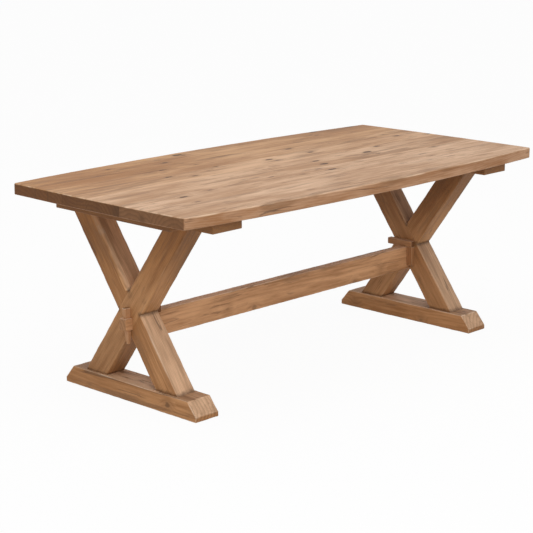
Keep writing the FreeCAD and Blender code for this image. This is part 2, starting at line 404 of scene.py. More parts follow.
facing = add(oak, "TexCoord").outputs["Normal"]
end_on = sums(oak, "ABSOLUTE", vectors(oak, "DOT_PRODUCT", facing, given["Grain"]))
sawn_end = between(oak, end_on, *sawn_range)
cross_cut = between(oak, end_on, *cross_range)
calm = sums(oak, "MULTIPLY_ADD", cross_cut, cross_loss, 1.0)
even_tone = sums(oak, "MULTIPLY_ADD", sums(oak, "SUBTRACT", tone, middle_grey), calm, middle_grey)
bare = stain(oak, even_tone, given["Deep"], given["Pale"])
# A warm, darker tint: the wood's own warm tone on boards, battens and feet, and painted shade at the heads
# of the legs.
bare = stain(oak, given["Warmth and shade"], bare, warm_shade, "MULTIPLY")

rubbed = add(oak, "Attribute")
rubbed.attribute_name = "worn"
wear_here = rubbed.outputs["Fac"]
patchy = between(oak, cloud(oak, given["Place"], *patchy_noise), *patchy_range)
polish = times(oak, wear_here, patchy, polish_share)
arris = stain(oak, between(oak, wear_here, *broad_range), arris_tan, broad_tan)
bare = stain(oak, polish, bare, arris)

# Painted light: faces that look up are lifted in value and greyed, standing partly for light from above and
# partly for bleaching.
bleached_and_lit = add(oak, "HueSaturation", {
    "Hue": bleach_and_light_hue, "Saturation": given["Fade"], "Value": bleach_and_light_value, "Color": bare,
    "Fac": between(oak, split(oak, facing)[2], *bleach_and_light_range),
}).outputs[0]
print("wood, edges and upper faces coloured")

# %% Streaks, knots, ends, dirt, painted shade and cracks
streak_brown = (0.205, 0.103, 0.047, 1.0)
knot_brown = (0.070, 0.034, 0.016, 1.0)
end_shade = (0.38, 0.295, 0.185, 1.0)
# Dark brown for real dirt and for painted shade.
grime_and_shade_brown = (0.070, 0.035, 0.015, 1.0)
crack_brown = (0.066, 0.038, 0.023, 1.0)
smoke_share = 0.46
fleck_share = 0.58
halo_share = 0.48
knot_share = 0.92
band_pace = 0.40
band_wander = 1.6
band_range = (0.30, 0.95)
band_share = 0.40
crack_share = 0.55

long_grain = sums(oak, "SUBTRACT", 1.0, cross_cut)
knot = times(oak, knot, long_grain)
crack = times(oak, crack, long_grain)
finished = stain(oak, times(oak, smoke, calm, smoke_share), bleached_and_lit, streak_brown)
finished = stain(oak, times(oak, fleck, calm, fleck_share), finished, streak_brown)
finished = stain(oak, times(oak, knot_halo, halo_share), finished, streak_brown)
finished = stain(oak, times(oak, knot, knot_share), finished, knot_brown)
band = sums(oak, "FRACT", weigh(oak, (ring, streak), (band_pace, band_wander)))
band = times(oak, between(oak, band, *band_range), cross_cut, band_share)
finished = stain(oak, band, finished, streak_brown)
finished = stain(oak, times(oak, sawn_end, given["Ends"]), finished, end_shade, "MULTIPLY")
# Dark brown by the Grime share: dirt in the board joints, darker flats on the feet, painted shade on the
# legs.
finished = stain(oak, given["Grime and shade"], finished, grime_and_shade_brown)
finished = stain(oak, times(oak, crack, crack_share), finished, crack_brown)
print("streaks, knots and dirt laid on")

# %% Gloss and relief of the oak
gloss_base = 0.50
streak_gloss = 0.22
polish_gloss = -0.12
relief_shares = (0.30, 0.22, 0.25, -0.80, -0.25)

gloss = sums(oak, "MULTIPLY_ADD", streak, streak_gloss, gloss_base)
gloss = sums(oak, "MULTIPLY_ADD", polish, polish_gloss, gloss)
result = oak.nodes.new("NodeGroupOutput").inputs
feed(oak, result["Colour"], finished)
feed(oak, result["Roughness"], gloss)
feed(oak, result["Height"], weigh(oak, (fibre, late_wood, streak, crack, knot), relief_shares))
print(len(oak.nodes), "nodes in the oak figure")

# %% [markdown]
# ## One finish for each timber
# No two timbers come from the same place in a tree. Each piece gets its own material: a Mapping node turns
# the pattern so that it runs along the timber, and moves it to a fresh stretch of wood. The heart of the
# tree lies below or beside the timber, near for strong flames and far for straight lines.

# %% Oak for one timber
oak_sheen = 0.22
relief_depth = 0.0016
relief_share = 0.55
fresh_stretch = 4.7
# How much colour the faces that look up keep, where they are bleached and painted lighter.
frame_fade_and_light = 0.77
timbers_cut = []


def grain_turn(direction):
    """The turn that brings the pattern's long way onto a direction."""
    return (0.0, -math.asin(max(-1.0, min(1.0, direction.z))), math.atan2(direction.y, direction.x))


def oak_for(
    name, centre, direction, heart, pale, deep, streaks, knots,
    warmth=0.0, ends=1.0, grime_and_shade=0.0, fade_and_light=frame_fade_and_light,
):
    """A material with the oak figure laid along one timber. A function may draw the warmth or the grime,
    which on the legs are painted shade.
    """
    direction = Vector(direction).normalized()
    timbers_cut.append(name)
    finish = bpy.data.materials.new(name + "_oak")
    tree = fresh(finish)
    spot = add(tree, "TexCoord")
    turn = add(tree, "Mapping", {
        "Vector": spot.outputs["Object"], "Rotation": grain_turn(direction),
        "Location": Vector(centre) - direction * (fresh_stretch * len(timbers_cut)),
    })
    turn.vector_type = "TEXTURE"
    figure = add(tree, "Group")
    figure.node_tree = oak
    values = {
        "Place": turn.outputs[0], "Heart": heart, "Grain": direction, "Pale": pale, "Deep": deep,
        "Streaks": streaks, "Knots": knots, "Warmth and shade": warmth, "Ends": ends, "Fade": fade_and_light, "Grime and shade": grime_and_shade,
    }
    for socket, value in values.items():
        feed(tree, figure.inputs[socket], value(tree, spot) if callable(value) else value)
    made = figure.outputs
    bump = add(tree, "Bump", {
        "Strength": relief_share, "Distance": relief_depth, "Height": made["Height"],
    })
    surface = add(tree, "BsdfPrincipled", {
        "Base Color": made["Colour"], "Roughness": made["Roughness"], "Normal": bump.outputs[0],
        "Specular IOR Level": oak_sheen,
    })
    add(tree, "OutputMaterial", {"Surface": surface.outputs[0]})
    return finish


def tones(pale, deep, tone=1.0):
    """The pale and the deep colour of a timber, made lighter or darker as a whole."""
    return [(*(part * tone for part in colour), 1.0) for colour in (pale, deep)]


print("oak ready")

# %% [markdown]
# ## Bench tools
# The timber is shaped as at a bench: a squared block is cut to size, its edges are eased, it is sliced
# across so that it has points to move, and at last its faces and edges are rubbed a little out of true.
# The eased faces are marked in an attribute named worn, which the oak reads for its pale edges.

# %% Stock, and taking it up
lengthways, crossways, upwards = Vector((1, 0, 0)), Vector((0, 1, 0)), Vector((0, 0, 1))


def take(*pieces):
    """Select these pieces and no others, with the first one active."""
    bpy.ops.object.select_all(action="DESELECT")
    for piece in pieces:
        piece.select_set(True)
    bpy.context.view_layer.objects.active = pieces[0]


def start_on(piece):
    """Make one piece the only selected one and open it for editing."""
    take(piece)
    bpy.ops.object.mode_set(mode="EDIT")


def put_down():
    """Close the piece that is open."""
    bpy.ops.object.mode_set(mode="OBJECT")


def squared_block(name, low, high):
    """A block between two corners."""
    low, high = Vector(low), Vector(high)
    bpy.ops.object.select_all(action="DESELECT")
    bpy.ops.mesh.primitive_cube_add(size=1, location=(low + high) / 2, scale=high - low)
    piece = bpy.context.object
    piece.name = name
    piece.data.name = name
    bpy.ops.object.transform_apply(location=True, rotation=True, scale=True)
    return piece


def round_bar(middle, radius, height, points):
    """An upright round bar about its middle."""
    bpy.ops.object.select_all(action="DESELECT")
    bpy.ops.mesh.primitive_cylinder_add(vertices=points, radius=radius, depth=height, location=middle)
    bpy.ops.object.transform_apply(location=True, rotation=True, scale=True)
    return bpy.context.object


def centre_of(node):
    """The middle of a node of the construction."""
    low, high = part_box(node)
    return (low + high) / 2


print("stock ready")

# %% Picking and easing
sharp_angle = math.radians(25)
ease_steps = 3


def is_sharp(edge):
    """True where two faces meet at a corner."""
    return len(edge.link_faces) == 2 and edge.calc_face_angle() > sharp_angle


def span(edge, direction):
    """How far an edge runs in a direction."""
    return abs((edge.verts[0].co - edge.verts[1].co).dot(direction))


def pick_edges(piece, wanted):
    """In edit mode, select the edges that pass a test."""
    bpy.ops.mesh.select_mode(type="EDGE")
    bpy.ops.mesh.select_all(action="DESELECT")
    shape = bmesh.from_edit_mesh(piece.data)
    chosen = [edge for edge in shape.edges if wanted(edge)]
    for edge in chosen:
        edge.select_set(True)
    bmesh.update_edit_mesh(piece.data)
    return len(chosen)


def pick_points(piece, wanted):
    """In edit mode, select the points that pass a test."""
    bpy.ops.mesh.select_mode(type="VERT")
    bpy.ops.mesh.select_all(action="DESELECT")
    shape = bmesh.from_edit_mesh(piece.data)
    for point in shape.verts:
        point.select_set(wanted(point.co))
    shape.select_flush(True)
    bmesh.update_edit_mesh(piece.data)


def ease(piece, width, wanted=is_sharp, steps=ease_steps, wear=1.0):
    """Round the edges that pass a test, and mark the narrow new faces as worn."""
    if not pick_edges(piece, wanted):
        return
    bpy.ops.mesh.bevel(offset=width, segments=steps, affect="EDGES")
    shape = bmesh.from_edit_mesh(piece.data)
    marks = shape.faces.layers.float.get("worn") or shape.faces.layers.float.new("worn")
    for face in shape.faces:
        longest = max(edge.calc_length() for edge in face.edges)
        if face.select and face.calc_area() < width * longest:
            face[marks] = wear
    bmesh.update_edit_mesh(piece.data)


print("edges of", round(math.degrees(sharp_angle)), "degrees and more count as sharp")

# %% Sawing, pulling and copying


def saw(spot, normal, **how):
    """Cut through the whole open piece at a plane."""
    bpy.ops.mesh.select_all(action="SELECT")
    bpy.ops.mesh.bisect(plane_co=spot, plane_no=normal, **how)


def trim(spot, normal):
    """Saw the open piece off at a plane and close the cut. What lies on the side of the normal goes."""
    saw(spot, normal, use_fill=True, clear_outer=True)


def slice_every(piece, direction, step):
    """Cut the open piece across at even places in one direction, so that it has points to move."""
    shape = bmesh.from_edit_mesh(piece.data)
    places = [point.co.dot(direction) for point in shape.verts]
    low, high = min(places), max(places)
    count = max(1, round((high - low) / step))
    for number in range(1, count):
        saw(direction * (low + (high - low) * number / count), direction)


def pull_out(step):
    """Extrude what is selected by a step."""
    bpy.ops.mesh.extrude_region_move(TRANSFORM_OT_translate={"value": step})


def turn_outward():
    """Make all faces of the open piece look outwards."""
    bpy.ops.mesh.select_all(action="SELECT")
    bpy.ops.mesh.normals_make_consistent(inside=False)


def cut_away(piece, cutter):
    """Take a cutter's shape out of a piece, and drop the cutter."""
    take(piece)
    cut = piece.modifiers.new("cut", "BOOLEAN")
    cut.operation = "DIFFERENCE"
    cut.solver = "EXACT"
    cut.object = cutter
    bpy.ops.object.modifier_apply(modifier=cut.name)
    bpy.data.objects.remove(cutter)


def both_sides(piece):
    """A right hand piece, and a copy with its own mesh that is mirrored to the left."""
    take(piece)
    bpy.ops.object.duplicate(linked=False)
    copy = bpy.context.object
    copy.name = piece.name.replace("right", "left")
    copy.data.name = copy.name
    start_on(copy)
    bpy.ops.mesh.select_all(action="SELECT")
    bpy.ops.transform.resize(value=(-1, 1, 1), center_override=(0, 0, 0))
    turn_outward()
    put_down()
    return {"right": piece, "left": copy}


print("saws ready")

# %% [markdown]
# Rubbing down is two Displace modifiers with cloud textures: a slow one that leaves every face a little
# uneven, as from a hand plane, and a quicker, deeper one that acts only on the eased edges. A Weighted
# Normal modifier then keeps the broad faces flat in the light.

# %% Rubbing down
plane_mark_size = 0.11
edge_knock_size = 0.028
edge_knock_detail = 3
face_rub = 0.0010
edge_rub = 0.0030
faint_wear = 0.35
smooth_angle = math.radians(40)

plane_marks = bpy.data.textures.new("plane_marks", "CLOUDS")
plane_marks.noise_scale = plane_mark_size
edge_knocks = bpy.data.textures.new("edge_knocks", "CLOUDS")
edge_knocks.noise_scale = edge_knock_size
edge_knocks.noise_depth = edge_knock_detail


def rub_with(piece, texture, depth, group):
    """Push the points of a piece in and out by a texture."""
    rub = piece.modifiers.new("rub", "DISPLACE")
    rub.texture = texture
    rub.texture_coords = "LOCAL"
    rub.direction = "NORMAL"
    rub.mid_level = middle_grey
    rub.strength = depth
    rub.vertex_group = group
    bpy.ops.object.modifier_apply(modifier=rub.name)


def rub_down(piece, face_depth=face_rub, edge_depth=edge_rub, still=None):
    """Leave the faces a little uneven and the eased edges worn. Points that pass the still test stay."""
    take(piece)
    marks = piece.data.attributes["worn"].data
    held = set()
    for face in piece.data.polygons:
        if marks[face.index].value < faint_wear / 2:
            held.update(face.vertices)
    edge_points = [point.index for point in piece.data.vertices if point.index not in held]
    free_points = [point.index for point in piece.data.vertices if not (still and still(point.co))]
    piece.vertex_groups.new(name="arris").add(edge_points, 1.0, "REPLACE")
    piece.vertex_groups.new(name="free").add(free_points, 1.0, "REPLACE")
    rub_with(piece, plane_marks, face_depth, "free")
    rub_with(piece, edge_knocks, edge_depth, "arris")
    piece.vertex_groups.clear()
    bpy.ops.object.shade_smooth_by_angle(angle=smooth_angle)
    flats = piece.modifiers.new("flats", "WEIGHTED_NORMAL")
    flats.keep_sharp = True
    bpy.ops.object.modifier_apply(modifier=flats.name)


def dress(piece, node, body, finish):
    """Give a piece its finish and let it stand for its node of the construction."""
    piece.data.materials.clear()
    piece.data.materials.append(finish)
    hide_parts(node)
    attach(piece, body)
    print(piece.name, len(piece.data.polygons), "faces")


print("rubbing ready")

# %% [markdown]
# ## The boards of the top
# Seven boards of uneven width lie edge to edge. The long sides of the top swell outwards in one shallow
# arc and the ends a little. Each board starts as a squared block between its two joints. Its long edges
# are divided, and the points then move out to the arcs, which is simpler here than a Curve modifier. The
# outer corners are rounded, the joints get a fine ease, and the rim a wider one.

# %% Board sizes
top_half_length = 0.980
top_half_width = 0.498
side_bow = 0.048
end_bow = 0.008
board_count = 7
same_place = 0.0005

corner_x = top_half_length - end_bow
corner_y = top_half_width - side_bow
side_arc = (corner_x**2 + side_bow**2) / (2 * side_bow)
end_arc = (corner_y**2 + end_bow**2) / (2 * end_bow)


def side_at(x):
    """How far out the long edge of the top is, at a place along it."""
    return top_half_width - side_arc + math.sqrt(side_arc**2 - x**2)


def end_at(y):
    """How far out the end of the top is, at a place across it."""
    return top_half_length - end_arc + math.sqrt(end_arc**2 - y**2)


def swell(piece, low_y, high_y, outer_back, outer_front):
    """Move the points of a squared board out to the arcs of the top."""
    for point in piece.data.vertices:
        share_along = point.co.x / top_half_length
        back_edge = abs(point.co.y - high_y) < same_place
        front_edge = abs(point.co.y - low_y) < same_place
        if back_edge and outer_back:
            point.co.y = side_at(share_along * corner_x)
            point.co.x = share_along * corner_x
        elif front_edge and outer_front:
            point.co.y = -side_at(share_along * corner_x)
            point.co.x = share_along * corner_x
        else:
            point.co.x = share_along * end_at(point.co.y)


print("arcs of", round(side_arc, 2), "m and", round(end_arc, 2), "m")

# %% Edges of a board
corner_round = 0.007
corner_steps = 5
rim_ease = 0.0042
rim_rub = 0.0018
joint_ease = 0.0004
joint_steps = 1


def is_outer_corner(edge):
    """True for the upright edges at the corners of the top."""
    stands = span(edge, upwards) > corner_round
    return stands and abs(edge.verts[0].co.y) > corner_y - same_place and is_sharp(edge)


def is_rim(edge):
    """True for the level edges round the outside of the top."""
    level = span(edge, upwards) < same_place
    at_end = all(abs(point.co.x) > corner_x - corner_round for point in edge.verts)
    at_side = all(abs(point.co.y) > corner_y - corner_round for point in edge.verts)
    return level and (at_end or at_side) and is_sharp(edge)


def on_joint(co, joint_ys, reach=same_place):
    """True for a place on one of a board's joints."""
    return any(abs(co.y - y) < reach for y in joint_ys)


def is_joint(edge, joint_ys):
    """True for the upper and lower edges of the joints beside a board."""
    beside = all(on_joint(point.co, joint_ys) for point in edge.verts)
    straight = span(edge, crossways) < same_place and span(edge, upwards) < same_place
    return beside and straight and is_sharp(edge)


print("rim eased by", rim_ease, "m, joints by", joint_ease, "m")

# %% [markdown]
# No two boards have the same tone. The left end was less in the sun and stays warmer. On the sawn ends dirt
# sits in the joints, and one board has a dark heart beside its joint. These are drawn by place on the table,
# so that the marks of two neighbours meet, where a mark painted on each board would need lining up.

# %% Looks of the boards
board_tones = (0.98, 1.00, 0.99, 1.05, 1.05, 1.08, 1.05)
board_warmths = (0.50, 0.42, 0.34, 0.16, 0.06, 0.0, 0.04)
board_ends = (0.80, 0.84, 0.88, 0.96, 1.0, 0.80, 0.76)
# How much colour each board's upper face keeps, where it is bleached and painted lighter.
board_fades_and_light = (0.92, 0.92, 0.92, 0.90, 0.88, 0.86, 0.85)
board_knots = (1.0, 1.0, 1.0, 1.0, 1.0, 1.0, 0.2)
board_hearts = (
    (0, 0.030, -0.090), (0, -0.050, 0.070), (0, 0.040, -0.060), (0, -0.020, 0.110),
    (0, 0.060, -0.080), (0, 0.010, -0.120), (0, -0.040, -0.070),
)
top_pale = (0.513, 0.302, 0.180)
top_deep = (0.312, 0.143, 0.058)
top_streaks = 1.0
warm_from, warm_to = 0.25, -0.85
left_warmth = 0.55
joint_dirts = (0.40, 0.50, 0.45, 0.25, 0.60, 0.10)
joint_dirt_width = 0.0040
dark_board = 5
dark_patch = 0.45
dark_patch_width = 0.060


def warm_from_left(base):
    """What draws the warmth of one board, which grows to the left."""

    def draw(tree, spot):
        """A share that falls along the table."""
        rise = between(tree, split(tree, spot.outputs["Object"])[0], warm_from, warm_to)
        return sums(tree, "MULTIPLY_ADD", rise, base * left_warmth, base)

    return draw


def dark_joints(joint_ys, dirts, dark_from):
    """What draws the dirt in the joints of one board, and a dark heart from a place across it."""

    def draw(tree, spot):
        """A share that is high in the joints and nothing away from the ends."""
        y_here = split(tree, spot.outputs["Object"])[1]
        dirt = 0.0
        for y, share_here in zip(sorted(joint_ys, reverse=True), dirts):
            away = sums(tree, "ABSOLUTE", sums(tree, "SUBTRACT", y_here, y))
            line_here = times(tree, between(tree, away, joint_dirt_width, 0.0), share_here)
            dirt = sums(tree, "MAXIMUM", dirt, line_here)
        if dark_from is not None:
            away = sums(tree, "SUBTRACT", y_here, dark_from)
            patch = times(tree, between(tree, away, dark_patch_width, 0.0), dark_patch)
            dirt = sums(tree, "MAXIMUM", dirt, patch)
        facing_end = vectors(tree, "DOT_PRODUCT", spot.outputs["Normal"], lengthways)
        return times(tree, dirt, between(tree, sums(tree, "ABSOLUTE", facing_end), *sawn_range))

    return draw


print("looks for", len(board_tones), "boards")

# %% Shape the boards
board_step = 0.016
for number in range(1, board_count + 1):
    node, row = f"top_board_{number}", number - 1
    low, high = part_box(node)
    low_y, high_y = max(low.y, -corner_y), min(high.y, corner_y)
    near_corner, far_corner = (-top_half_length, low_y, low.z), (top_half_length, high_y, high.z)
    board = squared_block(f"{node}_planed", near_corner, far_corner)
    start_on(board)
    pick_edges(board, lambda edge: span(edge, lengthways) > top_half_length)
    bpy.ops.mesh.subdivide(number_cuts=round(2 * top_half_length / board_step))
    put_down()
    swell(board, low_y, high_y, number == 1, number == board_count)

    middle_z = (low.z + high.z) / 2
    joint_ys = [y for y in (low_y, high_y) if abs(y) < corner_y - same_place]
    start_on(board)
    ease(board, corner_round, is_outer_corner, steps=corner_steps)
    ease(board, joint_ease, lambda edge: is_joint(edge, joint_ys), steps=joint_steps, wear=0.0)
    ease(board, rim_ease, lambda edge: is_rim(edge) and edge.verts[0].co.z > middle_z)
    ease(board, rim_ease, lambda edge: is_rim(edge) and edge.verts[0].co.z < middle_z, wear=0.0)
    slice_every(board, crossways, board_step)
    put_down()
    rub_down(board, edge_depth=rim_rub, still=lambda co: on_joint(co, joint_ys, 2 * same_place))

    dark_from = low_y if number == dark_board else None
    finish = oak_for(
        node, (0.0, (low_y + high_y) / 2, middle_z), lengthways, board_hearts[row],
        *tones(top_pale, top_deep, board_tones[row]), top_streaks, board_knots[row],
        warm_from_left(board_warmths[row]), board_ends[row],
        dark_joints(joint_ys, joint_dirts[max(0, row - 1):number], dark_from), board_fades_and_light[row],
    )
    dress(board, node, "frame", finish)

# %% [markdown]
# ## The tongues
# Loose tongues keep the boards level, deep inside the top. They never show, so the construction's own
# solids stay, with a plain sawn oak that is paler than the oiled timber outside.

# %% Finish the tongues
tongue_pale = (0.52, 0.36, 0.215)
tongue_deep = (0.42, 0.28, 0.155)
tongue_heart = (0, 0.05, 0.05)
tongue_streaks = 0.2
no_knots = 0.0

for number in range(1, board_count):
    node = f"top_tongue_{number}"
    finish = oak_for(
        node, centre_of(node), lengthways, tongue_heart,
        *tones(tongue_pale, tongue_deep), tongue_streaks, no_knots,
    )
    nodes[node].data.materials.clear()
    nodes[node].data.materials.append(finish)
print(board_count - 1, "tongues finished")

# %% [markdown]
# ## The feet
# Each trestle stands on a sled foot: a heavy block whose ends are sawn to a slope above a low lip. The
# right one is sawn from a squared block with two slanting planes, eased all round, sliced along its length
# and copied to the left. The copies are rubbed down afterwards, so that no two wear alike. The flats round
# the legs are drawn darker and warmer.

# %% Shape the feet
timber_step = 0.018
foot_bevel = 0.043
foot_lip = 0.018
foot_ease = 0.0032

foot_low, foot_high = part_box("right_foot")
foot = squared_block("right_foot_worn", foot_low, foot_high)
foot_rise = foot_high.z - foot_lip
foot_slope = math.hypot(foot_bevel, foot_rise)
start_on(foot)
for way in (-1, 1):
    shoulder = (0, way * (foot_high.y - foot_bevel), foot_high.z)
    trim(shoulder, (0, way * foot_rise / foot_slope, foot_bevel / foot_slope))
ease(foot, foot_ease)
slice_every(foot, crossways, timber_step)
slice_every(foot, lengthways, timber_step)
put_down()
feet = both_sides(foot)
print("feet sloped by", round(math.degrees(math.atan2(foot_rise, foot_bevel))), "degrees")

# %% Dark flats round the legs
# The flats round the legs are drawn darker and warmer.
flat_warmth = 0.62
flat_darkening = 0.29
flat_range = (0.13, 0.21)
flat_facing = (0.84, 0.97)


def dark_flats(share):
    """What draws the darker flats of a foot round the legs, towards both ends."""

    def draw(tree, spot):
        """A share that is high on the flats round the legs."""
        facing_up = vectors(tree, "DOT_PRODUCT", spot.outputs["Normal"], upwards)
        outwards = sums(tree, "ABSOLUTE", split(tree, spot.outputs["Object"])[1])
        flat = between(tree, facing_up, *flat_facing)
        return times(tree, flat, between(tree, outwards, *flat_range), share)

    return draw


print("flats dark from", flat_range[0], "metres off the middle")

# %% Finish the feet
sides = {"left": -1, "right": 1}
frame_pale = (0.575, 0.295, 0.129)
frame_deep = (0.328, 0.147, 0.052)
frame_knots = 0.6
soft_ends = 0.35
foot_streaks = 1.3
foot_hearts = {"left": (0, 0.095, 0.015), "right": (0, -0.060, -0.050)}
foot_tones = {"left": 1.08, "right": 1.03}

for side in sides:
    node = f"{side}_foot"
    rub_down(feet[side])
    finish = oak_for(
        node, centre_of(node), crossways, foot_hearts[side],
        *tones(frame_pale, frame_deep, foot_tones[side]), foot_streaks, frame_knots,
        dark_flats(flat_warmth), soft_ends, dark_flats(flat_darkening),
    )
    dress(feet[side], node, "frame", finish)

# %% [markdown]
# ## The battens
# A batten lies across the boards over each trestle. Its middle is wider and stands out past the legs, so
# it shows under the end of the top. That middle is extruded from the batten's outer face between two cuts.
# The batten is screwed up into the top through counterbored slots, so the boards can swell and shrink. The
# slot cutter is a round bar pulled apart at the middle, copied to each screw and taken out with a Boolean.

# %% Shape the battens
batten_ease = 0.0028
batten_width = 0.140
wing_half = 0.300

batten_low, batten_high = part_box("right_batten")
batten_side = batten_low.x + batten_width
batten_x = (batten_low.x + batten_side) / 2
batten = squared_block("right_batten_worn", batten_low, (batten_side, batten_high.y, batten_high.z))
start_on(batten)
for way in (-1, 1):
    saw((0, way * wing_half, 0), crossways)
pick_points(batten, lambda co: co.x > batten_side - same_place and abs(co.y) < wing_half + same_place)
pull_out((batten_high.x - batten_side, 0, 0))
turn_outward()
ease(batten, batten_ease, wear=0.0)
slice_every(batten, crossways, timber_step)
slice_every(batten, lengthways, timber_step)
put_down()
print("batten widened to", round(batten_high.x - batten_low.x, 3), "m in the middle")

# %% Cut the slots for the screws
slot_radius = 0.0065
slot_travel = 0.003
slot_depth = 0.012
slot_points = 32
overrun = 0.002
screw_rows = (-0.042, 0.042)
screw_ys = (0.38475, 0.10125, -0.0495, -0.369)
screw_places = [(batten_x + row, y) for row in screw_rows for y in screw_ys]

cutters = []
for x, y in screw_places:
    middle = (x, y, batten_low.z + (slot_depth - overrun) / 2)
    cutter = round_bar(middle, slot_radius, slot_depth + overrun, slot_points)
    start_on(cutter)
    for way in (-1, 1):
        pick_points(cutter, lambda co: (co.y - y) * way > same_place)
        bpy.ops.transform.translate(value=(0, way * slot_travel, 0))
    put_down()
    cutters.append(cutter)
take(*cutters)
bpy.ops.object.join()
cut_away(batten, cutters[0])
battens = both_sides(batten)
print(len(screw_places), "slots in each batten")

# %% Finish the battens
frame_streaks = 0.85
batten_tone = 0.62
batten_warmth = 0.35
batten_ends = 0.0
batten_hearts = {"left": (0, -0.030, 0.080), "right": (0, 0.050, 0.060)}

for side in sides:
    node = f"{side}_batten"
    rub_down(battens[side])
    finish = oak_for(
        node, centre_of(node), crossways, batten_hearts[side],
        *tones(frame_pale, frame_deep, batten_tone), frame_streaks, frame_knots,
        batten_warmth, ends=batten_ends,
    )
    dress(battens[side], node, "frame", finish)

# %% [markdown]
# ## The legs
# Two leaning timbers cross in each trestle and are halved into each other, so both faces stay flush. A leg
# is shaped upright about the crossing, then turned to its lean, sawn off level at the foot and the batten,
# and notched with a block that has its partner's lean. A mortise for the stretcher goes through the middle.
# The arrises stop where the partner is let in, so the flush faces meet without a groove. The upper outer
# arris of a front leg is the one that shoes reach, so it is worn broad just above the crossing.

# %% Leg sizes
leg_lean = math.radians(35.76)
leg_width = 0.093
leg_half_thick = 0.044
leg_stock = 0.60
crossing = Vector(((foot_low.x + foot_high.x) / 2, 0.0, 0.331))
inner_x = crossing.x - leg_half_thick
outer_x = crossing.x + leg_half_thick
foot_top = foot_high.z
batten_under = batten_low.z
lap_half = leg_width / 2 / math.sin(2 * leg_lean)
lap_shift = leg_width / 2 / math.tan(2 * leg_lean)
lap_ends = (-lap_half - lap_shift, lap_shift - lap_half, lap_half - lap_shift, lap_half + lap_shift)
broad_start = 0.008
broad_low = lap_half + lap_shift + broad_start


def upright_bar(name, half_width, x_span):
    """A squared bar that stands upright about the crossing, before it is turned to its lean."""
    low = (x_span[0], -half_width, crossing.z - leg_stock)
    high = (x_span[1], half_width, crossing.z + leg_stock)
    return squared_block(name, low, high)


def lean_over(toe):
    """Turn the open bar to its lean. The toe is -1 at the front and 1 at the back. With no window the turn
    runs the other way, so the sign is flipped."""
    bpy.ops.mesh.select_all(action="SELECT")
    bpy.ops.transform.rotate(value=-toe * leg_lean, orient_axis="X", center_override=crossing)


def is_arris(edge, toe):
    """True for the long corner edges of an upright leg, apart from where its partner is let in."""
    spot = (edge.verts[0].co + edge.verts[1].co) / 2 - crossing
    at_corner = abs(abs(spot.x) - leg_half_thick) + abs(abs(spot.y) - leg_width / 2) < same_place
    return at_corner and abs(spot.z - toe * math.copysign(lap_shift, spot.y)) > lap_half


def is_broad_arris(edge, toe):
    """True for the outer arris of a front leg that looks up, from just above the crossing."""
    spot = (edge.verts[0].co + edge.verts[1].co) / 2 - crossing
    return toe < 0 and is_arris(edge, toe) and spot.x > 0 and spot.y < 0 and spot.z > broad_low


print("legs lean", round(math.degrees(leg_lean), 2), "degrees")

# %% Shape the legs
leg_ease = 0.0050
broad_ease = 0.0165
broad_steps = 4
narrow_wear = 0.60
broad_wear = 3.4
lap_gap = 0.0005
tenon_half_thick = 0.0173
tenon_z = (0.2697, 0.3123)
toes = {"front": -1, "back": 1}

legs = {}
for end, toe in toes.items():
    leg = upright_bar(f"right_{end}_leg_worn", leg_width / 2, (inner_x, outer_x))
    start_on(leg)
    for rise in (*lap_ends, broad_low):
        saw((0, 0, crossing.z + rise), upwards)
    ease(leg, broad_ease, lambda edge: is_broad_arris(edge, toe), steps=broad_steps, wear=broad_wear)
    ease(leg, leg_ease, lambda edge: is_arris(edge, toe), wear=narrow_wear)
    for direction in (upwards, crossways, lengthways):
        slice_every(leg, direction, timber_step)
    lean_over(toe)
    trim((0, 0, foot_top), -upwards)
    trim((0, 0, batten_under), upwards)
    put_down()

    lap_x = (inner_x - overrun, crossing.x) if toe > 0 else (crossing.x, outer_x + overrun)
    notch = upright_bar("lap_cutter", leg_width / 2 + lap_gap, lap_x)
    start_on(notch)
    lean_over(-toe)
    put_down()
    cut_away(leg, notch)
    mortise_low = (inner_x - overrun, -tenon_half_thick, tenon_z[0])
    mortise_high = (outer_x + overrun, tenon_half_thick, tenon_z[1])
    cut_away(leg, squared_block("mortise_cutter", mortise_low, mortise_high))
    legs[end] = both_sides(leg)
    print(end, "leg of", len(leg.data.polygons), "faces")

# %% [markdown]
# The legs are not worn alike. Rubbing fades out towards the top, where nothing touches them. Towards the
# top, under the table, they are drawn warm and dark as painted shade, and on one leg the faces that look
# down get more painted shade. Painted shade also lies in the corners of the crossing and where a leg stands
# on the foot, and one leg grows darker towards its toe. All of it is drawn by place and by the way a face
# looks, so it needs no painting by hand.

# %% Looks of the legs
leg_tones = {"left_front": 1.11, "left_back": 1.00, "right_front": 0.88, "right_back": 0.88}
leg_wears = {"left_front": 1.0, "left_back": 0.60, "right_front": 0.40, "right_back": 0.60}
# Shares of painted shade at each leg's head and on its faces that look down, and of a darkening towards its
# toe.
head_shades = {"left_front": 0.30, "left_back": 0.19, "right_front": 0.48, "right_back": 0.44}
under_shades = {"left_front": 0.0, "left_back": 0.30, "right_front": 0.0, "right_back": 0.0}
toe_darkenings = {"left_front": 0.0, "left_back": 0.18, "right_front": 0.0, "right_back": 0.0}
leg_hearts = {
    "left_front": (0, 0.070, 0.040), "left_back": (0, -0.055, 0.050),
    "right_front": (0, 0.050, -0.065), "right_back": (0, -0.070, -0.030),
}
crotch_side = leg_width / 2 / math.cos(leg_lean)
crotch_rise = leg_width / 2 / math.sin(leg_lean)
trestle_plane = (0.0, 1.0, 1.0)
crotches = ((crotch_side, 0.0), (-crotch_side, 0.0), (0.0, crotch_rise), (0.0, -crotch_rise))
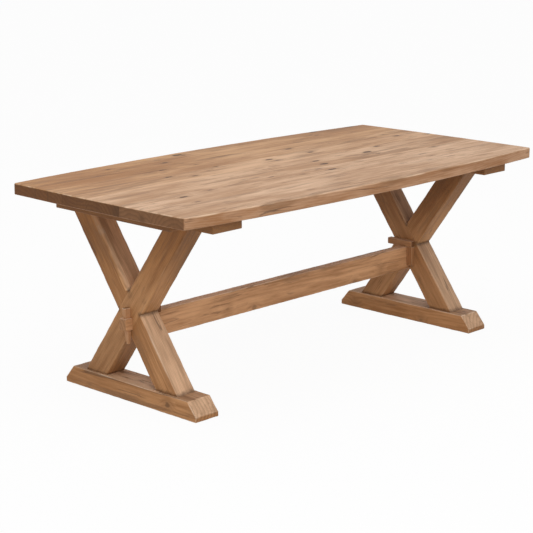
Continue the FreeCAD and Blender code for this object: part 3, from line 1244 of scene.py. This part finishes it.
# Painted shade in the corners of the crossing and at the seat on the foot: how uneven it is, how far it
# reaches and how strong it is.
corner_shade_noise = ((70.0, 70.0, 70.0), 3.0)
corner_shade_reach = 0.016
corner_shade_share = 0.65
# Heights over which the heads of the legs take painted shade, and how strong the warm painted shade is.
head_shade_range = (0.34, 0.64)
toe_range = (0.32, 0.18)
head_shade_share = 0.60
# Facings that take painted shade: sides at the head, faces that look down underneath; the toe darkening
# takes the sides too.
side_facing = (0.5, 0.1)
under_shade_facing = (-0.1, -0.5)


# Painted shade: the heads of the legs, under the table top, are drawn warmer and darker.
def painted_head_shade(tree, spot):
    """A share of painted shade that grows towards the head of a leg."""
    height = split(tree, spot.outputs["Object"])[2]
    return times(tree, between(tree, height, *head_shade_range), head_shade_share)


# Painted shade in the corners, at the seat on the foot, at the head and underneath, and a darkening towards
# the toe.
def painted_leg_shade(leg_name):
    """What draws the painted shade of one leg, in the corners of the crossing, at its seat on the foot and
    thinly at its head and underneath, and a darkening towards its toe.
    """

    def draw(tree, spot):
        """A share of painted shade that is high in the corners."""
        place = spot.outputs["Object"]
        height = split(tree, place)[2]
        near = sums(tree, "SUBTRACT", height, foot_top)
        for side_y, rise_z in crotches:
            away = vectors(tree, "SUBTRACT", place, (0.0, side_y, crossing.z + rise_z))
            distance = vectors(tree, "LENGTH", vectors(tree, "MULTIPLY", away, trestle_plane))
            near = sums(tree, "MINIMUM", near, distance)
        uneven = sums(tree, "SUBTRACT", cloud(tree, place, *corner_shade_noise), middle_grey)
        near = sums(tree, "MULTIPLY_ADD", uneven, corner_shade_reach, near)
        corner = times(tree, between(tree, near, corner_shade_reach, 0.0), corner_shade_share)
        facing_up = vectors(tree, "DOT_PRODUCT", spot.outputs["Normal"], upwards)
        looks = (between(tree, facing_up, *side_facing), between(tree, facing_up, *under_shade_facing))
        thin = weigh(tree, looks, (head_shades[leg_name], under_shades[leg_name]))
        head = times(tree, between(tree, height, *head_shade_range), thin)
        low = times(tree, between(tree, height, *toe_range), looks[0], toe_darkenings[leg_name])
        return sums(tree, "MAXIMUM", corner, sums(tree, "MAXIMUM", head, low))

    return draw


print("looks for", len(leg_tones), "legs")

# %% Wear and finish the legs
leg_knots = 0.25
least_wear = 0.12
wear_low, wear_high = 0.48, 0.63

for end, toe in toes.items():
    run = (0, -toe * math.sin(leg_lean), math.cos(leg_lean))
    for side, sign in sides.items():
        leg, leg_name = legs[end][side], f"{side}_{end}"
        for face, mark in zip(leg.data.polygons, leg.data.attributes["worn"].data):
            rise = (face.center.z - wear_low) / (wear_high - wear_low)
            mark.value *= leg_wears[leg_name] * (1 - (1 - least_wear) * min(1.0, max(0.0, rise)))
        rub_down(leg)
        finish = oak_for(
            f"{leg_name}_leg", (sign * crossing.x, 0, crossing.z), run, leg_hearts[leg_name],
            *tones(frame_pale, frame_deep, leg_tones[leg_name]), frame_streaks, leg_knots,
            painted_head_shade, grime_and_shade=painted_leg_shade(leg_name),
        )
        dress(leg, f"{leg_name}_leg", "frame", finish)

# %% [markdown]
# ## The stretcher
# One plank on edge ties the trestles. At each end it is cut down to a tenon that passes through the
# crossing and shows outside it. The end face is extruded in place, drawn in to the tenon's size with a
# resize about the right point, and extruded again through the crossing. A slot for the wedge is cut last.

# %% Shape the stretcher
stretcher_half_thick = 0.020
stretcher_z = (0.221, 0.319)
stretcher_ease = 0.0034
tenon_size = (0.034, 0.042)
tenon_top = 0.312
tenon_reach = 0.033
tenon_ease = 0.004
tenon_steps = 2

plank_low = (-inner_x, -stretcher_half_thick, stretcher_z[0])
plank_high = (inner_x, stretcher_half_thick, stretcher_z[1])
plank = squared_block("stretcher_worn", plank_low, plank_high)
draw_y = tenon_size[0] / (2 * stretcher_half_thick)
draw_z = tenon_size[1] / (stretcher_z[1] - stretcher_z[0])
still_z = (tenon_top - stretcher_z[1] * draw_z) / (1 - draw_z)
through = 2 * leg_half_thick + tenon_reach
tenon_end = outer_x + tenon_reach


def is_tenon_end(edge):
    """True for the edges round the end of a tenon."""
    return all(abs(point.co.x) > tenon_end - same_place for point in edge.verts)


start_on(plank)
for way in (-1, 1):
    pick_points(plank, lambda co: co.x * way > inner_x - same_place)
    pull_out((0, 0, 0))
    bpy.ops.transform.resize(value=(1, draw_y, draw_z), center_override=(way * inner_x, 0, still_z))
    pull_out((way * through, 0, 0))
turn_outward()
ease(plank, stretcher_ease, lambda edge: span(edge, lengthways) > inner_x)
ease(plank, tenon_ease, is_tenon_end, steps=tenon_steps, wear=0.0)
slice_every(plank, lengthways, timber_step)
slice_every(plank, upwards, timber_step)
put_down()
print("tenon drawn in about a height of", round(still_z, 4), "m")

# %% Cut the slots for the wedges
wedge_low, wedge_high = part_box("right_wedge")
wedge_half_thick = 0.0093
wedge_tip_width = 0.011
wedge_head_width = 0.027
wedge_gap = 0.0003
slot_back = 0.004
slot_z = (tenon_z[0] - overrun, tenon_z[1] + overrun)


def wedge_width(z):
    """How wide the wedge is at a height above the floor."""
    share_up = (z - wedge_low.z) / (wedge_high.z - wedge_low.z)
    return wedge_tip_width + (wedge_head_width - wedge_tip_width) * share_up


for way in (-1, 1):
    slot_outer = wedge_low.x + wedge_width(slot_z[1]) + wedge_gap
    slot_x = sorted((way * (outer_x - slot_back), way * slot_outer))
    slot_low = (slot_x[0], -wedge_half_thick, slot_z[0])
    slot_high = (slot_x[1], wedge_half_thick, slot_z[1])
    opening = squared_block("slot_cutter", slot_low, slot_high)
    start_on(opening)
    pick_points(opening, lambda co: co.z < slot_z[0] + same_place and co.x * way > outer_x)
    taper = wedge_width(slot_z[0]) - wedge_width(slot_z[1])
    bpy.ops.transform.translate(value=(way * taper, 0, 0))
    put_down()
    cut_away(plank, opening)
print("slots reach", round(slot_outer - outer_x, 4), "m past the legs at the top")

# %% Finish the stretcher
stretcher_pale = (0.690, 0.374, 0.188)
stretcher_deep = (0.388, 0.186, 0.078)
stretcher_heart = (0, 0.060, -0.020)
stretcher_streaks = 1.1
stretcher_knots = 0.4

rub_down(plank)
finish = oak_for(
    "stretcher", (0, 0, sum(stretcher_z) / 2), lengthways, stretcher_heart,
    *tones(stretcher_pale, stretcher_deep), stretcher_streaks, stretcher_knots, ends=soft_ends,
)
dress(plank, "stretcher", "frame", finish)

# %% [markdown]
# ## The caps and cheeks
# On the inner face of each crossing a cap lies over the stretcher, and a cheek stands on each side of it
# below. They are short blocks with eased edges, a little darker than the legs, and their grain runs across
# the table in the cap and upright in the cheeks.

# %% Shape the caps and cheeks
housing_ease = 0.0024
housing_step = 0.012
housing_rubs = (0.0006, 0.0022)
housing_pale = (0.470, 0.240, 0.112)
housing_deep = (0.320, 0.148, 0.058)
housing_heart = (0, 0.04, -0.05)
housing_knots = 0.3
housing_runs = {"stretcher_cap": crossways, "back_cheek": upwards, "front_cheek": upwards}

for name, run in housing_runs.items():
    low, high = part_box(f"right_{name}")
    block = squared_block(f"right_{name}_worn", low, high)
    start_on(block)
    ease(block, housing_ease, wear=faint_wear)
    for direction in (lengthways, crossways, upwards):
        slice_every(block, direction, housing_step)
    put_down()
    blocks = both_sides(block)
    for side in sides:
        node = f"{side}_{name}"
        rub_down(blocks[side], *housing_rubs)
        finish = oak_for(
            node, centre_of(node), run, housing_heart,
            *tones(housing_pale, housing_deep), frame_streaks, housing_knots,
        )
        dress(blocks[side], node, "frame", finish)

# %% [markdown]
# ## The wedges
# A tapered wedge drops through the slot outside each crossing and pulls the shoulders tight. It starts as
# a block, is sliced once above its point, and the tip is drawn in on three sides. Its head is rounded more
# than the rest, from the mallet. Each wedge rides on its own body, so it can be knocked upwards.

# %% Shape the wedges
wedge_point = 0.034
wedge_point_share = 0.556
wedge_ease = 0.0016
head_ease = 0.0030
wedge_step = 0.010

wedge = squared_block("right_wedge_worn", wedge_low, wedge_high)
start_on(wedge)
saw((0, 0, wedge_low.z + wedge_point), upwards)
pick_points(wedge, lambda co: co.z < wedge_low.z + same_place)
bpy.ops.transform.resize(value=(1, wedge_point_share, 1), center_override=(wedge_low.x, 0, wedge_low.z))
for height in (0.0, wedge_point):
    level = wedge_low.z + height
    pick_points(wedge, lambda co: co.x > wedge_low.x + same_place and abs(co.z - level) < same_place)
    bpy.ops.transform.translate(value=(wedge_low.x + wedge_width(level) - wedge_high.x, 0, 0))
ease(wedge, head_ease, lambda edge: all(point.co.z > wedge_high.z - same_place for point in edge.verts))
ease(wedge, wedge_ease)
slice_every(wedge, upwards, wedge_step)
put_down()
wedges = both_sides(wedge)
print("wedge of", len(wedge.data.polygons), "faces")

# %% Finish the wedges
wedge_rubs = (0.0003, 0.0008)
wedge_pale = (0.600, 0.325, 0.165)
wedge_deep = (0.410, 0.200, 0.090)
wedge_heart = (0, 0.03, 0.02)
wedge_streaks = 0.4

for side in sides:
    node = f"{side}_wedge"
    rub_down(wedges[side], *wedge_rubs)
    finish = oak_for(
        node, centre_of(node), upwards, wedge_heart,
        *tones(wedge_pale, wedge_deep), wedge_streaks, no_knots,
    )
    dress(wedges[side], node, node, finish)

# %% [markdown]
# ## The screws
# The screws sit in the counterbores under the battens. One is modelled from a short round bar: its rim is
# eased, the inner face is drawn in and pulled up into a shank, and a cross recess is cut in the head. It
# is then copied to every slot of a batten, and the copies are joined into one piece.

# %% Screw steel
steel_grey = (0.56, 0.56, 0.57, 1.0)
steel_worn = (0.40, 0.39, 0.38, 1.0)
speck_noise = ((900.0, 900.0, 900.0), 4.0)
speck_range = (0.45, 0.65)
swirl_noise = ((160.0, 160.0, 2200.0), 2.0)
swirl_gloss = 0.25
steel_gloss = 0.25

steel = bpy.data.materials.new("zinc_plated_steel")
tree = fresh(steel)
place = add(tree, "TexCoord").outputs["Object"]
specks = between(tree, cloud(tree, place, *speck_noise), *speck_range)
swirl = cloud(tree, place, *swirl_noise)
surface = add(tree, "BsdfPrincipled", {
    "Metallic": 1.0,
    "Base Color": stain(tree, specks, steel_grey, steel_worn),
    "Roughness": sums(tree, "MULTIPLY_ADD", swirl, swirl_gloss, steel_gloss),
})
add(tree, "OutputMaterial", {"Surface": surface.outputs[0]})
print("steel ready")

# %% Shape one screw
head_radius = 0.006
head_height = 0.004
head_round = 0.0016
shank_radius = 0.003
shank_rise = 0.046
point_rise = 0.006
recess_width = 0.0013
recess_reach = 0.0034
recess_depth = 0.0018
screw_points = 24
head_z = batten_under + slot_depth - head_height

screw = round_bar((0, 0, head_z + head_height / 2), head_radius, head_height, screw_points)
screw.name = "screw_model"
start_on(screw)
ease(screw, head_round, lambda edge: all(point.co.z < head_z + same_place for point in edge.verts))
pick_points(screw, lambda co: co.z > head_z + head_height - same_place)
bpy.ops.mesh.inset(thickness=head_radius - shank_radius)
pull_out((0, 0, shank_rise))
pull_out((0, 0, point_rise))
bpy.ops.mesh.merge(type="CENTER")
put_down()
for reach_x, reach_y in ((recess_reach, recess_width), (recess_width, recess_reach)):
    low = (-reach_x / 2, -reach_y / 2, head_z - overrun)
    high = (reach_x / 2, reach_y / 2, head_z + recess_depth)
    cut_away(screw, squared_block("recess_cutter", low, high))
print("one screw of", len(screw.data.polygons), "faces")

# %% Set the screws in the battens
for side, sign in sides.items():
    copies = []
    for x, y in screw_places:
        copy = screw.copy()
        copy.data = screw.data.copy()
        scene.collection.objects.link(copy)
        copy.location = (sign * x, y, 0)
        copies.append(copy)
    take(*copies)
    bpy.ops.object.join()
    bpy.ops.object.transform_apply(location=True, rotation=True, scale=True)
    bpy.ops.object.shade_smooth_by_angle(angle=smooth_angle)
    copies[0].name = f"{side}_batten_screws_cut"
    dress(copies[0], f"{side}_batten_screws", "frame", steel)
bpy.data.objects.remove(screw)
